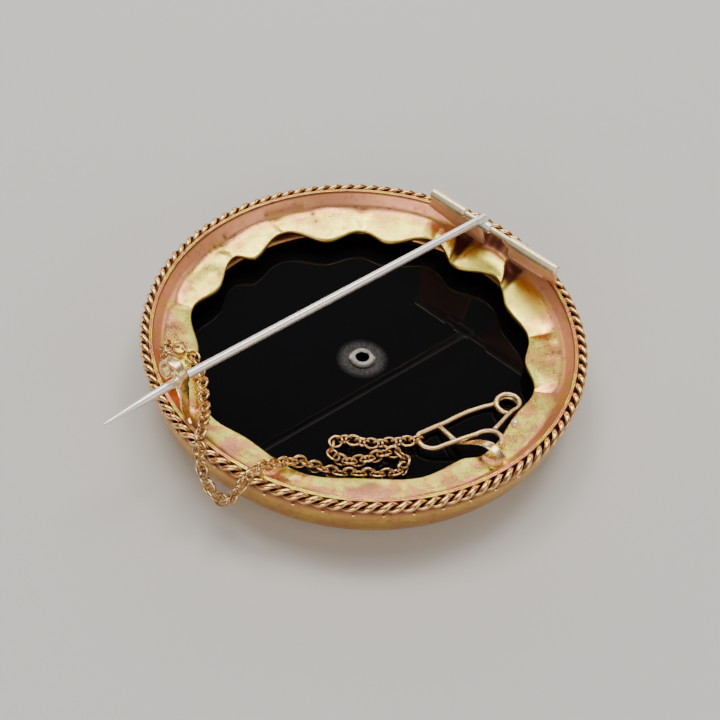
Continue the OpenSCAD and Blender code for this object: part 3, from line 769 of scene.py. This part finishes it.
# ---------------------------------------------------------------------------------------
# Catch. A gold strip bent over into an open hook that the pin snaps under, its narrow limb
# soldered to the wall beside a low upright plate that holds the jump ring.
HOOK_IN_X, HOOK_MID, HOOK_R, HOOK_T, HOOK_W, LIMB_W = -22.95, (5.9, 6.3), 1.75, 0.38, 1.2, 0.7
HOOK_FROM, HOOK_SWEEP, HOOK_STEPS, TIP_SHARE, LIMB_SET = -60, 270, 54, 0.72, 0.08
LIMB_HEIGHTS = (5.0, 4.4, 3.8, 3.2, 2.8, 2.4, 2.0, 1.6, 1.2, 0.8, 0.4, -0.2, -1.2)
CATCH_FROM, CATCH_TO = Vector((-19.8, 10.9, 0)), Vector((-23.6, 3.6, 0))
CATCH_FOOT, CATCH_TOP, CATCH_T = -2.1, 0.2, 0.4
PLATE_HOLE_IN, PLATE_HOLE_Z, PLATE_HOLE_R = 0.85, -0.5, 0.42


def capped_faces(count, sides):
    """Faces along a row of sections, each with that many points, closed at both ends."""
    faces = [
        (i * sides + k, i * sides + (k + 1) % sides,
         (i + 1) * sides + (k + 1) % sides, (i + 1) * sides + k)
        for i in range(count - 1) for k in range(sides)
    ]
    faces.append(tuple(range(sides - 1, -1, -1)))
    faces.append(tuple((count - 1) * sides + k for k in range(sides)))
    return faces


def swept_strip(path, thick, sides=16):
    """Strip with a flat oval section along points given as (x, y, z, width)."""
    verts = []
    for i, (x, y, z, wide) in enumerate(path):
        _, y0, z0, _ = path[max(i - 1, 0)]
        _, y1, z1, _ = path[min(i + 1, len(path) - 1)]
        run = math.hypot(y1 - y0, z1 - z0)
        ny, nz = -(z1 - z0) / run, (y1 - y0) / run
        for k in range(sides):
            a = math.tau * (k + 0.5) / sides
            c, s = math.cos(a), math.sin(a)
            broad = math.copysign(abs(c) ** 0.4, c) * wide / 2
            deep = math.copysign(abs(s) ** 0.6, s) * thick / 2
            verts.append((x + broad, y + ny * deep, z + nz * deep))
    return verts, capped_faces(len(path), sides)


hook_path = []
for k in range(HOOK_STEPS + 1):
    a = math.radians(HOOK_FROM + HOOK_SWEEP * k / HOOK_STEPS)
    wide = HOOK_W * (TIP_SHARE + (1 - TIP_SHARE) * eased(k / 8))
    hook_path.append((HOOK_IN_X - HOOK_W / 2, HOOK_MID[0] + (HOOK_R - HOOK_T / 2) * math.cos(a),
                      HOOK_MID[1] + (HOOK_R - HOOK_T / 2) * math.sin(a), wide))
for z in LIMB_HEIGHTS:
    wide = LIMB_W + (HOOK_W - LIMB_W) * eased((z - 0.5) / 2.1)
    hook_path.append((HOOK_IN_X - wide / 2, HOOK_MID[0] - HOOK_R + HOOK_T / 2 + LIMB_SET, z,
                      wide))
catch_gold = worked_gold("catch_gold", (0.97, 0.76, 0.40), (0.86, 0.56, 0.26), 0.26, 0.12)[0]
hook = mesh_piece("catch_hook", *swept_strip(hook_path, HOOK_T))
dress(hook, catch_gold, "brooch", "frame")

plate_run = (CATCH_TO - CATCH_FROM).normalized()
plate_side = Vector((-plate_run.y, plate_run.x, 0))
plate_length = (CATCH_TO - CATCH_FROM).length


def on_catch_plate(u, v, w):
    p = CATCH_FROM + plate_run * u + plate_side * w
    return (p.x, p.y, v)


catch_plate = mesh_piece("catch_plate", *slab(
    ((0, CATCH_FOOT), (plate_length, CATCH_FOOT), (plate_length, CATCH_TOP), (0, CATCH_TOP)),
    -CATCH_T / 2, CATCH_T / 2, on_catch_plate))
cut(catch_plate, slab(round_outline(PLATE_HOLE_IN, PLATE_HOLE_Z, PLATE_HOLE_R, 32),
                      -CATCH_T, CATCH_T, on_catch_plate))
round_edges(catch_plate, PLATE_EDGE)
dress(catch_plate, catch_gold, "brooch", "frame")

# ---------------------------------------------------------------------------------------
# Pendant hook. A tapered strip of gold that arches up from the wall and down over the lip;
# beside it a ball of solder stands on the edge of the shelf.
PENDANT_X, PENDANT_T = -2.3, 0.2
# Along the hook: place towards the middle, height, half width
PENDANT = (
    (-22.9, -1.9, 0.3), (-22.3, -1.35, 0.35), (-21.6, -0.95, 0.5), (-20.8, -0.75, 0.55),
    (-20.0, -0.8, 0.55), (-19.0, -1.35, 0.5), (-18.0, -2.25, 0.42), (-17.0, -3.25, 0.33),
    (-16.2, -3.95, 0.24), (-15.7, -4.25, 0.16),
)
SOLDER_PLACE, SOLDER_R, SOLDER_LUMPS, LUMP, SAG = (3.05, -19.8, -2), 0.52, 1.5, 0.08, 0.92
pendant = mesh_piece("pendant_hook", *swept_strip(
    [(PENDANT_X, y, z, 2 * half) for y, z, half in PENDANT], PENDANT_T))
rounder = pendant.modifiers.new("round", "SUBSURF")
rounder.levels = rounder.render_levels = 2
dress(finished(pendant), catch_gold, "brooch", "frame")

solder = bmesh.new()
bmesh.ops.create_icosphere(solder, subdivisions=4, radius=SOLDER_R * MM)
for v in solder.verts:
    lump = 1 + LUMP * noise.noise(v.co * SOLDER_LUMPS / (SOLDER_R * MM))
    v.co = Vector((v.co.x * lump, v.co.y * lump, v.co.z * lump * SAG))
bmesh.ops.translate(solder, verts=solder.verts, vec=at(*SOLDER_PLACE))
solder_ball = placed("solder_ball", bpy.data.meshes.new("solder_ball"))
solder.to_mesh(solder_ball.data)
solder.free()
solder_ball.data.shade_smooth()
dress(solder_ball, tube_gold, "brooch", "frame")

# ---------------------------------------------------------------------------------------
# Onyx. A flat plate of black onyx, polished to a mirror and held under the border's lip; round
# the rivet's hole the polish is broken by the fine grey marks of the grinding.
GROUND_FROM, GROUND_TO = 2.2, 3.1
BLACK, GROUND_GREY = (0.003, 0.003, 0.004), (0.16, 0.15, 0.145)
onyx_black, tree, shader, place, away, _ = metal_base("onyx_black", 0)
shader.inputs["IOR"].default_value = 1.54
shader.inputs["Specular IOR Level"].default_value = 0.16
grain = noise_at(tree, place, 5.0, 6.0, 0.75)
ragged = math_node(tree, "MULTIPLY_ADD", math_node(tree, "SUBTRACT", grain, 0.5), 1.6, away)
ground = ranged(tree, ragged, GROUND_FROM, GROUND_TO, 1.0, 0.0)
speckle = math_node(tree, "MULTIPLY", ground, ranged(tree, grain, 0.45, 0.7))
tree.links.new(mixed(tree, speckle, BLACK, GROUND_GREY), shader.inputs["Base Color"])
haze = noise_at(tree, place, 0.5, 3.0)
polish = math_node(tree, "MULTIPLY_ADD", ground, 0.4, ranged(tree, haze, 0.3, 0.7, 0.02, 0.05))
tree.links.new(polish, shader.inputs["Roughness"])
bump = add_node(tree, "ShaderNodeBump", Distance=0.03 * MM,
                Height=math_node(tree, "MULTIPLY", grain, ground))
tree.links.new(bump.outputs["Normal"], shader.inputs["Normal"])
paint(nodes["onyx"], onyx_black)

# ---------------------------------------------------------------------------------------
# Rivet. A hollow tube of white metal whose end is spread over the back of the onyx; the flare
# is bright where it is worn and dull round its edge; its bore is painted near black as shade.
RIVET_BORE_R, FLARE_R = 0.73, 1.57
SILVER, GREY_SILVER = (0.62, 0.58, 0.52), (0.42, 0.39, 0.35)
BORE_SHADE, EDGE_DIRT = (0.015, 0.013, 0.012), (0.16, 0.13, 0.11)
rivet_silver, tree, shader, place, away, _ = metal_base("rivet_silver")
cloud = noise_at(tree, place, 2.0, 5.0, 0.6)
silver = mixed(tree, ranged(tree, cloud, 0.3, 0.7), SILVER, GREY_SILVER)
# Painted shade: the bore is painted near black.
silver = mixed(tree, ranged(tree, away, RIVET_BORE_R + 0.02, RIVET_BORE_R + 0.14),
               BORE_SHADE, silver)
silver = mixed(tree, ranged(tree, away, FLARE_R - 0.22, FLARE_R), silver, EDGE_DIRT)
tree.links.new(silver, shader.inputs["Base Color"])
surface(tree, shader, cloud, cloud, 0.3, 0.15, 0.04)
paint(nodes["rivet"], rivet_silver)

# ---------------------------------------------------------------------------------------
# Pin. A long straight gold wire, drawn hard and filed to a point, bent a little downwards
# beyond the catch; its head is soldered across a short tube that turns on the hinge wire.
PIN_R, PIN_HEAD, PIN_SKEW, PIN_STRAIGHT = 0.46, Vector((20.0, -0.44, 5.42)), 8.1, 42.8
PIN_FALL, FREE_FALL = 0.4, 5
HEAD_ANGLES, PIN_STEPS = (3, 12, 25, 40, 55, 72, 90), (6, 14, 22, 30, 37, 41.6, PIN_STRAIGHT)
# Beyond the bend: how far, and the radius there
FREE_END = ((1.2, 0.46), (4.3, 0.46), (6.3, 0.36), (8.3, 0.24), (9.6, 0.16), (10.2, 0.11),
            (10.29, 0.03))


def pin_run(fall):
    skew, fall = math.radians(PIN_SKEW), math.radians(fall)
    return Vector((-math.cos(skew) * math.cos(fall), math.sin(skew) * math.cos(fall),
                   -math.sin(fall)))


straight = pin_run(PIN_FALL)
pin_wire = [(PIN_HEAD - straight * PIN_R * math.cos(math.radians(a)),
             PIN_R * math.sin(math.radians(a))) for a in HEAD_ANGLES]
pin_wire += [(PIN_HEAD + straight * d, PIN_R) for d in PIN_STEPS]
pin_bend = pin_wire[-1][0]
pin_wire += [(pin_bend + pin_run(FREE_FALL) * d, r) for d, r in FREE_END]


def swept_wire(sections, sides):
    """Round wire of changing radius through the given points, closed at both ends."""
    verts = []
    side = None
    for i, (p, r) in enumerate(sections):
        before, after = sections[max(i - 1, 0)][0], sections[min(i + 1, len(sections) - 1)][0]
        ahead = (after - before).normalized()
        if side is None:
            side = ahead.cross(Vector((0, 0, 1)) if abs(ahead.z) < 0.9 else Vector((1, 0, 0)))
        side = (side - ahead * side.dot(ahead)).normalized()
        other = ahead.cross(side)
        for k in range(sides):
            a = math.tau * k / sides
            verts.append(tuple(p + (side * math.cos(a) + other * math.sin(a)) * r))
    return verts, capped_faces(len(sections), sides)


# Painted highlight: the pin's gold is made nearly white all over, standing for the glare along it.
pin_gold = worked_gold(
    "pin_gold", (1.0, 0.98, 0.96), (0.98, 0.94, 0.90), 0.34, 0.05, 0.1, 0.8)[0]
pin = merged("pin", [
    swept_wire(pin_wire, 32), tube_along_y(PIN_KNUCKLE, KNUCKLE_R, PIN_BORE, soft=0.08)])
dress(pin, pin_gold, "pin", "pin_stem")

# ---------------------------------------------------------------------------------------
# Safety chain. Small oval links of round gold wire, each turned a quarter from the last, from
# the jump ring on the catch plate over the rim and down on to the onyx.
CHAIN_ROUTE = (
    (-20, 10.5, 1.3), (-19.6, 11.6, 1.35), (-18.7, 12.8, 0.9), (-17.6, 13.6, 0.1),
    (-16.5, 13.3, -0.8), (-15.9, 12.1, -1.3), (-16.2, 10.5, -1.4), (-17, 9, -1.4),
    (-18.1, 7.6, -1.3), (-19.2, 6.3, -1.1), (-20.3, 5, -0.8), (-21.4, 3.7, -0.1),
    (-22.8, 2.4, 0.9), (-24.4, 1.1, 1.6), (-25.9, -0.3, 1.1), (-26.8, -1.7, -0.5),
    (-27, -3.1, -1.9), (-27, -4.6, -2.2), (-26.7, -5.8, -1), (-26, -6.3, 0.6),
    (-24.8, -6.4, 1.6), (-23.3, -6.3, 1.5), (-21.7, -6.1, 0.4), (-19.9, -6.2, -0.9),
    (-18.1, -7, -1.5), (-16.5, -8.3, -2.8), (-14.9, -9.9, -3.75), (-13.3, -11.6, -3.75),
    (-12, -13, -3.75), (-10.8, -14.1, -3.75), (-9.4, -14.4, -3.75), (-8.3, -13.6, -3.75),
    (-8.3, -12.4, -3.75), (-9.3, -11.6, -3.75), (-10.6, -11.1, -3.75), (-12, -10.4, -3.75),
    (-13.1, -9.3, -3.75), (-13.5, -8.1, -3.75), (-12.7, -7, -3.75), (-11.4, -6.9, -3.75),
    (-10.4, -8, -3.75), (-9.6, -9.3, -3.75), (-8.7, -10.3, -3.75), (-7.8, -11, -3.75),
    (-7, -11.6, -3.75), (-6.2, -12.25, -3.75), (-5.4, -12.85, -3.75),
)
LINK_HALF_L, LINK_HALF_W, LINK_WIRE_R, LINK_SIDES, CHAIN_TWIST = 0.79, 0.64, 0.165, 8, -12


def smooth_route(route, steps):
    """Points of a smooth curve through a route, that many steps from each point to the next."""
    points = [Vector(p) for p in route]
    made = []
    for i in range(len(points) - 1):
        a, b = points[max(i - 1, 0)], points[i]
        c, d = points[i + 1], points[min(i + 2, len(points) - 1)]
        for k in range(steps):
            t = k / steps
            made.append(0.5 * (2 * b + (c - a) * t + (2 * a - 5 * b + 4 * c - d) * t * t
                               + (3 * b - a - 3 * c + d) * t ** 3))
    return made + [points[-1]]


path = smooth_route(CHAIN_ROUTE, 12)
run = [0.0]
for a, b in zip(path, path[1:]):
    run.append(run[-1] + (b - a).length)
link_count = round(run[-1]) + 1
link_mids = []
here = 0
for i in range(link_count):
    s = run[-1] * i / (link_count - 1)
    while here < len(run) - 2 and run[here + 1] < s:
        here += 1
    t = (s - run[here]) / (run[here + 1] - run[here])
    link_mids.append(path[here].lerp(path[here + 1], min(t, 1)))
link_turns = []
side = Vector((0, 0, 1))
for i, mid in enumerate(link_mids):
    ahead = (link_mids[min(i + 1, link_count - 1)] - link_mids[max(i - 1, 0)]).normalized()
    side = (side - ahead * side.dot(ahead)).normalized()
    turn = math.radians(90 * (i % 2) + CHAIN_TWIST * i / (link_count - 1))
    width = side * math.cos(turn) + ahead.cross(side) * math.sin(turn)
    link_turns.append(Matrix((ahead, width, ahead.cross(width))).transposed().to_euler())
seats = bpy.data.meshes.new("chain")
seats.from_pydata([tuple(at(*mid)) for mid in link_mids], [], [])
turns = seats.attributes.new("turn", "FLOAT_VECTOR", "POINT")
for i, turn in enumerate(link_turns):
    turns.data[i].vector = tuple(turn)

chain_tree, given, result = new_tree("oval_links", (
    ("Half Length", "Float"), ("Half Width", "Float"), ("Wire Radius", "Float"),
    ("Metal", "Material"),
))
oval = add_node(chain_tree, "GeometryNodeCurvePrimitiveCircle", Resolution=24, Radius=1.0)
sizes = add_node(chain_tree, "ShaderNodeCombineXYZ", X=given["Half Length"],
                 Y=given["Half Width"], Z=1.0)
stretched = add_node(chain_tree, "GeometryNodeTransform", Geometry=oval.outputs["Curve"],
                     Scale=sizes.outputs[0])
turned_by = add_node(chain_tree, "GeometryNodeInputNamedAttribute", data_type="FLOAT_VECTOR",
                     Name="turn")
as_turn = add_node(chain_tree, "FunctionNodeEulerToRotation", Euler=turned_by.outputs[0])
spread = add_node(chain_tree, "GeometryNodeInstanceOnPoints", Points=given["Geometry"],
                  Instance=swept_round(chain_tree, stretched.outputs[0], given["Wire Radius"],
                                       LINK_SIDES), Rotation=as_turn.outputs[0])
end_tree(chain_tree, given, result, spread.outputs[0])
chain_gold = worked_gold("chain_gold", (0.84, 0.58, 0.27), (0.48, 0.28, 0.12), 0.18, 0.1)[0]
chain = made_by(chain_tree, "chain", {
    "Half Length": LINK_HALF_L * MM, "Half Width": LINK_HALF_W * MM,
    "Wire Radius": LINK_WIRE_R * MM, "Metal": chain_gold,
}, seats)
dress(chain, chain_gold, "brooch", "chain")

# ---------------------------------------------------------------------------------------
# Jump ring. A round ring of gold wire through the hole in the catch plate; it ties the chain
# to the brooch.
paint(nodes["jump_ring"], chain_gold)

# ---------------------------------------------------------------------------------------
# Safety pin. One gold wire bent into a small safety pin: a coil for its spring, a cross bar,
# and a curled, balled end that rests over the pendant hook.
SAFETY_R, BALL_R = 0.285, 0.34
COIL_X, COIL_Y, COIL_R, COIL_TOP, COIL_FALL = 6.1, -16.7, 1.33, -3.4, 0.8
COIL_FROM, COIL_SWEEP, COIL_STEPS = -83, 540, 12
FREE_ARM = ((1.2, -18.4, -2.8), (4.9, -17.95, -3.25))
CLOSED_ARM = (
    (5.1, -15.35, -4.2), (4.25, -14.9, -4.2), (3.1, -14.4, -4.2), (1.9, -13.95, -4.2),
    (0.45, -13.6, -4.15), (-1, -13.3, -4.1), (-2.3, -12.95, -4), (-3.7, -12.65, -3.85),
    (-4.5, -12.5, -3.75), (-4.95, -12.75, -3.75), (-5.4, -13.35, -3.75), (-5.5, -13.95, -3.75),
    (-5.2, -14.65, -3.75), (-4.7, -15.2, -3.65), (-3.95, -15.65, -3.4), (-2.9, -16.3, -3.05),
    (-1.9, -16.85, -2.8), (-0.9, -17.4, -2.65), (-0.15, -17.75, -2.5), (0.35, -18.4, -2.2),
    (0.5, -19.25, -1.95), (0.1, -20.15, -1.65), (-0.75, -20.7, -1.5),
)
CROSS_BAR = ((-1.85, -13.1, -4.05), (-2.2, -14.3, -3.7), (-2.85, -16.25, -3.1))
coil = []
for k in range(COIL_STEPS + 1):
    a = math.radians(COIL_FROM + COIL_SWEEP * k / COIL_STEPS)
    coil.append((COIL_X + COIL_R * math.cos(a), COIL_Y + COIL_R * math.sin(a),
                 COIL_TOP - COIL_FALL * k / COIL_STEPS))
safety_path = smooth_route((*FREE_ARM, *coil, *CLOSED_ARM), 5)
safety_gold = worked_gold(
    "safety_gold", (0.96, 0.72, 0.38), (0.88, 0.58, 0.28), 0.36, 0.1, 0.3)[0]
safety_pin = merged("safety_pin", [
    swept_wire([(p, SAFETY_R) for p in safety_path], 14),
    swept_wire([(Vector(p), SAFETY_R) for p in CROSS_BAR], 12),
])
end_ball = bmesh.new()
end_ball.from_mesh(safety_pin.data)
made = bmesh.ops.create_icosphere(end_ball, subdivisions=3, radius=BALL_R * MM)
bmesh.ops.translate(end_ball, verts=made["verts"], vec=at(*CLOSED_ARM[-1]))
end_ball.to_mesh(safety_pin.data)
end_ball.free()
safety_pin.data.shade_smooth()
dress(safety_pin, safety_gold, "brooch", "safety_pin")
